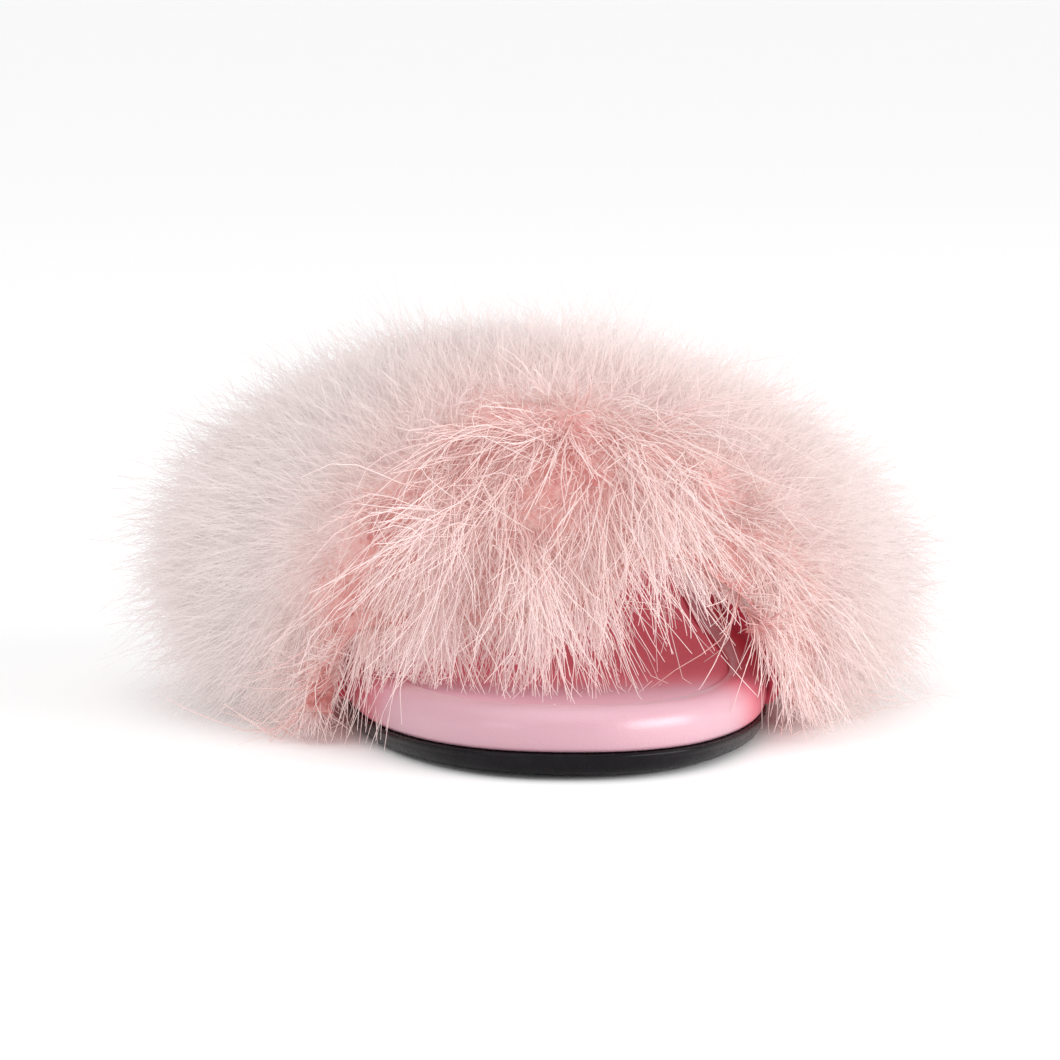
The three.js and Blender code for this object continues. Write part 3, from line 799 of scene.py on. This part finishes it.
def paint_bed(bed):
    """Says where the down grows, which way it is swept, how long it is and its shade"""
    place = numbers(bed.vertices, "co", 3)
    normal = numbers(bed.vertices, "normal", 3)
    shown = shown_share(place, normal)
    x, y, z = place.T
    arch = np.hypot(x / np.where(x < 0, ARCH_OUTER, ARCH_INNER), np.maximum(z, 0) / ARCH_HEIGHT)
    front = smooth(-normal[:, 1], *FRONT_FACING) * smooth(-y, *FRONT_AHEAD)
    inside = front * (1 - smooth(arch, *FRINGE_END))
    sitting = smooth(-normal[:, 2], *SITTING_FACING) * (1 - smooth(z, *SITTING_HEIGHT))
    grow = shown * (1 - sitting)
    parting = front * bell(arch, *PARTING)
    apart = [np.hypot(x - at_x * MM, z - at_z * MM) / HOLLOW_SIZE for at_x, at_z in HOLLOWS]
    hollow = front * bell(np.min(apart, axis=0), 0, 1)
    paint(bed, "grow_halo", grow * (1 - inside) * (1 - 0.3 * hollow))
    paint(bed, "grow_fringe", grow * inside * (1 - 0.3 * hollow))
    paint(bed, "grow_under", grow * (1 - 0.3 * inside))
    paint(bed, "grow_parting", grow * front * bell(arch, *PARTING_DOWN))

    halo = unit(place - HALO_SOURCE) + HALO_FALL
    beside = front * bell(arch, *CURTAIN) * (1 - smooth(z, *CURTAIN_TOP))
    curtain = np.stack([0.2 * np.sign(x), np.full_like(x, -0.2), np.full_like(x, -1.0)], axis=1)
    halo = mix(halo, curtain, CURTAIN_SHARE * beside[:, None])
    fringe = np.stack([x / FRINGE_SPREAD, np.full_like(x, -0.25), np.full_like(x, -1.0)], axis=1)
    sweep = mix(halo, fringe, inside[:, None])
    sweep -= normal * (sweep * normal).sum(axis=1, keepdims=True)
    paint(bed, "sweep", unit(sweep) * (1 - 0.4 * parting)[:, None])

    hem_x, hem_z = np.array(HEM).T * MM
    hang = np.clip((z + 2 * MM - np.interp(x, hem_x, hem_z)) / FRINGE_LENGTH, 0.15, 1)
    crown = mix(1, CROWN_LENGTH, smooth(z, 60 * MM, 88 * MM))
    paint(bed, "reach", mix(crown, hang, inside) * (1 - 0.15 * parting - 0.45 * hollow))

    # Partly painted light: paler away from the arch and towards the back, and deeper on the inner side.
    far = np.maximum(smooth(arch, 1.0, 1.3), smooth(y, -60 * MM, -10 * MM))
    cool = HALO_SHADE + FAR_SHADE * far - INNER_SHADE * smooth(x, 0, 80 * MM)
    warm = np.clip(arch - FRINGE_END[0], 0, 1) * 0.2
    # Painted shade: the parting and the hollows are painted deeper.
    shade = mix(cool, FRINGE_SHADE + warm, inside) - 0.05 * parting - 0.15 * hollow
    # Painted shade: the hidden faces of the bed take HIDDEN_SHADE.
    paint(bed, "shade", mix(HIDDEN_SHADE, shade, shown))
    return bed


def bed_map(bed):
    """The bed's own map: its shade, at the roots' end of the down's colours, which are darker there as
    painted shade among the barbs
    """
    shade = numbers(bed.attributes["shade"].data, "value")
    corners = numbers(bed.loops, "vertex_index").astype(int)
    layer = bed.uv_layers.new(name="OFBake")
    spots = np.stack([shade[corners], np.full(len(corners), 0.1)], axis=1)
    layer.data.foreach_set("uv", spots.astype(np.float32).ravel())


EDDY = 9 * MM  # how far apart the tips bend in other directions
LENGTHS = (0.6, 1.15)  # of the barbs, as shares of their layer's
WAVE_TURN = 6.0  # of a barb's wave from root to tip, in radians
WAVE_SIZE = 0.35

# The inputs of the tree, which LAYERS sets
SETTINGS = {
    "Sole": "Object",
    "Where": "String",  # the attribute that says where the barbs grow
    "Seed": "Int",
    "Points": "Int",  # along a barb
    "Density": "Float",
    "Length": "Float",
    "Root": "Float",  # radius, as for the tip
    "Tip": "Float",
    "Lift": "Float",  # how far the barbs stand up from the bed
    "Scatter": "Float",  # how far their directions vary
    "Tuft": "Float",  # size
    "Flow": "Float",  # how far the directions of the tufts vary
    "Gather": "Float",  # how far the tips draw together in a tuft
    "Droop": "Float",
    "Swirl": "Float",  # how far barbs that are near each other bend together
    "Curl": "Float",  # how far each bends by itself
    "Sink": "Float",  # how deep in the bed they start
    "Vary": "Float",  # how far their shades vary
}


def barb_tree(material):
    """A Geometry Nodes tree that grows barbs on a painted bed, gathered into tufts"""
    tree = bpy.data.node_groups.new("barbs", "GeometryNodeTree")
    face = tree.interface
    face.new_socket("Geometry", in_out="INPUT", socket_type="NodeSocketGeometry")
    face.new_socket("Geometry", in_out="OUTPUT", socket_type="NodeSocketGeometry")
    for label, kind in SETTINGS.items():
        face.new_socket(label, in_out="INPUT", socket_type=f"NodeSocket{kind}")
    g = Graph(tree)
    source = tree.nodes.new("NodeGroupInput")
    given = {socket.name: Wire(g, socket) for socket in source.outputs if socket.name}

    def attribute(name, kind="FLOAT"):
        return g.node("GeometryNodeInputNamedAttribute", {"data_type": kind}, {"Name": name}, "Attribute")

    def store(geometry, name, value, kind="FLOAT", domain="POINT"):
        settings = {"data_type": kind, "domain": domain}
        values = {"Geometry": geometry, "Name": name, "Value": value}
        return g.node("GeometryNodeStoreNamedAttribute", settings, values)

    def random(low, high, extra, kind="FLOAT"):
        values = {"Min": low, "Max": high, "Seed": given["Seed"] + extra}
        return g.node("FunctionNodeRandomValue", {"data_type": kind}, values)

    def added(first, *others):
        for other in others:
            first = g.vector("ADD", first, other)
        return first

    scatter = g.tree.nodes.new("GeometryNodeDistributePointsOnFaces")
    g.tree.links.new(given["Geometry"].socket, scatter.inputs["Mesh"])
    g.tree.links.new((given["Density"] * attribute(given["Where"])).socket, g.pick(scatter.inputs, "Density"))
    g.tree.links.new(given["Seed"].socket, scatter.inputs["Seed"])
    roots = Wire(g, scatter.outputs["Points"])
    normal = Wire(g, scatter.outputs["Normal"])

    # Each barb belongs to the tuft whose middle is nearest.
    sides = (-1, -1, -1), (1, 1, 1)
    tuft = g.tree.nodes.new("ShaderNodeTexVoronoi")
    g.tree.links.new(g.maths("DIVIDE", 1.0, given["Tuft"]).socket, tuft.inputs["Scale"])
    middle = Wire(g, tuft.outputs["Position"])
    own = g.vector("SUBTRACT", Wire(g, tuft.outputs["Color"]), (0.5, 0.5, 0.5))
    away = g.vector("SUBTRACT", middle, g.node("GeometryNodeInputPosition"))
    way = added(
        g.scaled(normal, given["Lift"]),
        attribute("sweep", "FLOAT_VECTOR"),
        g.scaled(own, given["Flow"]),
        g.scaled(random(*sides, 1, "FLOAT_VECTOR"), given["Scatter"]),
    )
    length = given["Length"] * attribute("reach") * random(*LENGTHS, 2)
    eddy = g.node("ShaderNodeTexNoise", {"noise_dimensions": "4D"}, {"Scale": 1 / EDDY, "W": 3.0}, "Color")
    for name, value in {
        "pull": away, "eddy": g.vector("SUBTRACT", eddy, (0.5, 0.5, 0.5)),
        "bend": random(*sides, 3, "FLOAT_VECTOR"), "wave": random(*sides, 4, "FLOAT_VECTOR"),
    }.items():
        roots = store(roots, name, value, "FLOAT_VECTOR")
    roots = store(roots, "size", length)
    roots = store(roots, "tint", attribute("shade") + random(-1.0, 1.0, 5) * given["Vary"])
    roots = g.node("GeometryNodeSetPosition", {}, {
        "Geometry": roots, "Offset": g.scaled(normal, given["Sink"] * -1),
    })
    line = g.node("GeometryNodeCurvePrimitiveLine", {}, {"Start": (0, 0, 0), "End": (0, 0, 1)})
    line = g.node("GeometryNodeResampleCurve", {}, {"Curve": line, "Count": given["Points"]})
    aim = g.node("FunctionNodeAlignRotationToVector", {"axis": "Z"}, {"Vector": way})
    barbs = g.node("GeometryNodeInstanceOnPoints", {}, {
        "Points": roots, "Instance": line, "Rotation": aim, "Scale": attribute("size"),
    })
    barbs = g.node("GeometryNodeRealizeInstances", {}, {"Geometry": barbs})
    barbs = store(barbs, "along", g.node("GeometryNodeSplineParameter", output="Factor"))

    # The barb bends: down by its weight, with its tuft, and a little by itself.
    along = attribute("along")
    size = attribute("size")
    late = size * along**2
    swing = g.maths("SINE", along * WAVE_TURN) * along * size * given["Curl"] * WAVE_SIZE
    offset = added(
        g.node("ShaderNodeCombineXYZ", {}, {"Z": given["Droop"] * -1 * late}),
        g.scaled(attribute("pull", "FLOAT_VECTOR"), given["Gather"] * along),
        g.scaled(attribute("eddy", "FLOAT_VECTOR"), given["Swirl"] * late),
        g.scaled(attribute("bend", "FLOAT_VECTOR"), given["Curl"] * late),
        g.scaled(attribute("wave", "FLOAT_VECTOR"), swing),
    )
    barbs = g.node("GeometryNodeSetPosition", {}, {"Geometry": barbs, "Offset": offset})
    barbs = above_sole(g, barbs, given["Sole"])

    radius = g.blend_number(along, given["Root"], given["Tip"])
    ring = g.node("GeometryNodeCurvePrimitiveCircle", {}, {"Resolution": 3, "Radius": 1.0}, "Curve")
    ring = store(ring, "around", g.node("GeometryNodeSplineParameter", output="Factor"))
    barbs = g.node("GeometryNodeCurveToMesh", {}, {
        "Curve": barbs, "Profile Curve": ring, "Scale": radius, "Fill Caps": True,
    })
    u = attribute("tint") + 0.03 * attribute("around")
    u = g.node("ShaderNodeClamp", {}, {"Value": u, "Min": 0.02, "Max": 0.98})
    spot = g.node("ShaderNodeCombineXYZ", {}, {"X": u, "Y": 0.02 + 0.96 * attribute("along")})
    barbs = store(barbs, "OFBake", spot, "FLOAT2", "CORNER")
    barbs = g.node("GeometryNodeSetMaterial", {}, {"Geometry": barbs, "Material": material})
    end = tree.nodes.new("NodeGroupOutput")
    tree.links.new(barbs.socket, end.inputs["Geometry"])
    return tree


def above_sole(g, barbs, sole):
    """Lifts what would lie inside the sole or the floor onto it, and bends its end up a little"""
    clear = 0.4 * MM
    rebound = 0.35  # of the depth at which the barb would lie
    high = 0.2  # over the whole slipper
    spot = g.node("GeometryNodeInputPosition")
    xyz = [g.node("ShaderNodeSeparateXYZ", {}, {0: spot}, axis) for axis in "XYZ"]
    start = g.node("ShaderNodeCombineXYZ", {}, {"X": xyz[0], "Y": xyz[1], "Z": high})
    target = g.node("GeometryNodeObjectInfo", {}, {"Object": sole}, "Geometry")
    hit = g.node("GeometryNodeRaycast", {}, {
        "Target Geometry": target, "Source Position": start, "Ray Direction": (0, 0, -1), "Ray Length": 1.0,
    }, "Hit Position")
    ground = g.node("ShaderNodeSeparateXYZ", {}, {0: hit}, "Z")
    lowest = ground + clear
    z = g.maths("MAXIMUM", xyz[2], lowest + rebound * (lowest - xyz[2]))
    lifted = g.node("ShaderNodeCombineXYZ", {}, {"X": xyz[0], "Y": xyz[1], "Z": z})
    return g.node("GeometryNodeSetPosition", {}, {"Geometry": barbs, "Position": lifted})


def grow(name, bed, tree, **sizes):
    """A piece of barbs from the tree, with its inputs set by name"""
    made = bpy.data.objects.new(name, bed.copy())
    bpy.context.scene.collection.objects.link(made)
    modifier = made.modifiers.new("barbs", "NODES")
    modifier.node_group = tree
    for item in tree.interface.items_tree:
        if item.in_out == "INPUT" and item.name in sizes:
            modifier[item.identifier] = sizes[item.name]
    mesh = settled(made)
    mesh.name = name
    for spare in [layer.name for layer in mesh.attributes if layer.name in SPARE]:
        mesh.attributes.remove(mesh.attributes[spare])
    mesh.shade_smooth()
    return mesh_object(name, mesh, None, "marabou")


# Attributes that only the trees need
SPARE = (
    "size", "bend", "wave", "eddy", "pull", "tint", "along", "around", "sweep", "reach", "shade",
    "grow_halo", "grow_fringe", "grow_under", "grow_parting",
)

# What the down is made of, layer by layer: lengths and radii in metres, density in barbs per square metre
LAYERS = {
    "underdown": {
        "Where": "grow_under", "Seed": 11, "Points": 3, "Density": 0.34e6, "Length": 0.75 * HALO_LENGTH,
        "Root": 0.16 * MM, "Tip": 0.05 * MM, "Lift": 0.7, "Scatter": 0.7, "Tuft": 12 * MM, "Flow": 0.4,
        "Gather": 0.08, "Droop": 0.1, "Swirl": 0.6, "Curl": 0.25, "Sink": 2 * MM, "Vary": 0.06,
    },
    "down_short": {
        "Where": "grow_halo", "Seed": 23, "Points": 4, "Density": 0.25e6, "Length": 0.9 * HALO_LENGTH,
        "Root": 0.13 * MM, "Tip": 0.04 * MM, "Lift": 0.6, "Scatter": 0.5, "Tuft": 14 * MM, "Flow": 0.35,
        "Gather": 0.08, "Droop": 0.12, "Swirl": 0.7, "Curl": 0.3, "Sink": 2 * MM, "Vary": 0.06,
    },
    "down_long": {
        "Where": "grow_halo", "Seed": 37, "Points": 4, "Density": 0.25e6, "Length": 1.05 * HALO_LENGTH,
        "Root": 0.11 * MM, "Tip": 0.04 * MM, "Lift": 0.55, "Scatter": 0.45, "Tuft": 16 * MM, "Flow": 0.4,
        "Gather": 0.1, "Droop": 0.15, "Swirl": 0.8, "Curl": 0.35, "Sink": 2 * MM, "Vary": 0.06,
    },
    "down_fine": {
        "Where": "grow_halo", "Seed": 71, "Points": 4, "Density": 0.18e6, "Length": 1.1 * HALO_LENGTH,
        "Root": 0.08 * MM, "Tip": 0.03 * MM, "Lift": 0.7, "Scatter": 0.45, "Tuft": 16 * MM, "Flow": 0.3,
        "Gather": 0.05, "Droop": 0.1, "Swirl": 0.7, "Curl": 0.3, "Sink": 2 * MM, "Vary": 0.04,
    },
    "parting_down": {
        "Where": "grow_parting", "Seed": 61, "Points": 4, "Density": 0.95e6, "Length": 0.6 * HALO_LENGTH,
        "Root": 0.17 * MM, "Tip": 0.06 * MM, "Lift": 0.35, "Scatter": 0.7, "Tuft": 9 * MM, "Flow": 1.4,
        "Gather": 0.6, "Droop": 0.3, "Swirl": 1.2, "Curl": 0.3, "Sink": 1.5 * MM, "Vary": 0.1,
    },
    "front_fringe": {
        "Where": "grow_fringe", "Seed": 53, "Points": 8, "Density": 0.85e6, "Length": FRINGE_LENGTH,
        "Root": 0.22 * MM, "Tip": 0.08 * MM, "Lift": 0.45, "Scatter": 0.2, "Tuft": 9 * MM, "Flow": 1.5,
        "Gather": 0.85, "Droop": 0.5, "Swirl": 2.5, "Curl": 0.4, "Sink": 1.5 * MM, "Vary": 0.09,
    },
    "fringe_wool": {
        "Where": "grow_fringe", "Seed": 83, "Points": 4, "Density": 0.6e6, "Length": 0.5 * FRINGE_LENGTH,
        "Root": 0.14 * MM, "Tip": 0.05 * MM, "Lift": 0.8, "Scatter": 0.7, "Tuft": 9 * MM, "Flow": 1.2,
        "Gather": 0.4, "Droop": 0.4, "Swirl": 1.5, "Curl": 0.6, "Sink": 1.5 * MM, "Vary": 0.1,
    },
}


# Build

# RIM_PINK is the leather's own pink. The deeper rose given to each leather below is painted shade: the shadow
# of strap and fur with the pink light bounced between them. The footbed and insole take it only under the
# strap, and the strap has it all over. Each glow is painted light.
RIM_PINK = (0.555, 0.305, 0.365)
pink = leather(
    "pink_leather", (0.66, 0.17, 0.22), (0.60, 0.14, 0.19), coat=0.9, glow=0.03, ends=RIM_PINK,
    front=RIM_SHADED_FRONT,
)
insole_pink = leather(
    "insole_leather", (0.84, 0.28, 0.34), (0.78, 0.24, 0.30), grain=0.6, coat=0.0, roughness=(0.65, 0.8),
    gloss=0.05, glow=0.16, ends=RIM_PINK,
)
strap_pink = leather(
    "strap_leather", (0.74, 0.13, 0.19), (0.68, 0.11, 0.16), grain=0.6, coat=0.0, roughness=(0.7, 0.8),
    gloss=0.04, glow=0.1,
)
black = rubber("black_rubber")

outsole(black)
padded_sole = footbed(pink)
insole(insole_pink)
strap(strap_pink)

# The down's colours, each from a shade on. The roots' colours are darker than the tips': painted shade among
# the barbs.
ROOTS = [
    (0.0, (0.46, 0.15, 0.14)),
    (0.2, (0.59, 0.30, 0.28)),
    (0.45, (0.60, 0.44, 0.42)),
    (0.9, (0.62, 0.54, 0.53)),
]
TIPS = [
    (0.0, (0.66, 0.39, 0.36)),
    (0.2, (0.74, 0.57, 0.55)),
    (0.45, (0.69, 0.57, 0.55)),
    (0.9, (0.69, 0.62, 0.61)),
]
down_look = down("marabou_down", ROOTS, TIPS)
bed_look = down("matted_down", ROOTS, TIPS, nap=1.5 * MM)

bed = paint_bed(down_bed())
bed_map(bed)
tree = barb_tree(down_look)
for name, sizes in LAYERS.items():
    grow(name, bed, tree, Sole=padded_sole, **sizes)
mesh_object("down_bed", bed, bed_look, "marabou")


# Stage

LOOKED_AT = (0, -0.03, 0.04)  # what the soft boxes point to
SUN_POWER = 1.15
SUN_SPREAD = math.radians(75)
SUN_FROM = (-0.25, -0.3, 1.0)
ROOM_POWER = 0.65


def stage():
    """A pale floor that reaches past the picture"""
    bpy.ops.mesh.primitive_plane_add(size=60, location=(0, 0, 0))
    floor = bpy.context.object
    floor.name = "floor"
    pale = Finish("pale_floor", Base_Color=(0.98, 0.98, 0.98, 1), Roughness=0.7, Specular_IOR_Level=0.1)
    floor.data.materials.append(pale.material)


def aimed(name, lamp, place, target):
    made = bpy.data.objects.new(name, lamp)
    made.location = place
    made.rotation_euler = (Vector(target) - Vector(place)).to_track_quat("-Z", "Y").to_euler()
    bpy.context.scene.collection.objects.link(made)


def area_light(name, place, size, power):
    lamp = bpy.data.lights.new(name, "AREA")
    lamp.shape = "RECTANGLE"
    lamp.size, lamp.size_y = size
    lamp.energy = power
    aimed(name, lamp, place, LOOKED_AT)


def lights():
    overhead = bpy.data.lights.new("overhead", "SUN")
    overhead.energy = SUN_POWER
    overhead.angle = SUN_SPREAD
    aimed("overhead", overhead, SUN_FROM, (0, 0, 0))
    area_light("right_box", place=(1.2, -0.42, 0.34), size=(1.2, 0.6), power=15)
    area_light("front_fill", place=(-1.3, -1.2, 0.35), size=(1.0, 0.4), power=4)
    world = bpy.data.worlds.new("white_room")
    world.use_nodes = True
    light = world.node_tree.nodes["Background"].inputs
    light["Color"].default_value = (1, 1, 1, 1)
    light["Strength"].default_value = ROOM_POWER
    bpy.context.scene.world = world
    bpy.context.scene.view_settings.view_transform = "Standard"
    bpy.context.scene.view_settings.look = "None"


# The photograph's angle to the shoe
CAMERA_AZIMUTH = math.radians(3)
CAMERA_ELEVATION = math.radians(7.5)
CAMERA_DISTANCE = 1.1
CAMERA_TARGET = Vector((-5 * MM, -60 * MM, 44 * MM))
FRAME_WIDTH = 236 * MM  # what the picture is wide at the target
SENSOR = 36


def camera():
    lens = bpy.data.cameras.new("camera")
    lens.sensor_width = SENSOR
    lens.lens = SENSOR * CAMERA_DISTANCE / FRAME_WIDTH
    lens.clip_start = 0.05
    made = bpy.data.objects.new("camera", lens)
    level_way = Vector((math.sin(CAMERA_AZIMUTH), -math.cos(CAMERA_AZIMUTH), 0))
    way = level_way * math.cos(CAMERA_ELEVATION) + Vector((0, 0, math.sin(CAMERA_ELEVATION)))
    made.location = CAMERA_TARGET + way * CAMERA_DISTANCE
    made.rotation_euler = (-way).to_track_quat("-Z", "Y").to_euler()
    bpy.context.scene.collection.objects.link(made)
    bpy.context.scene.camera = made


stage()
lights()
camera()
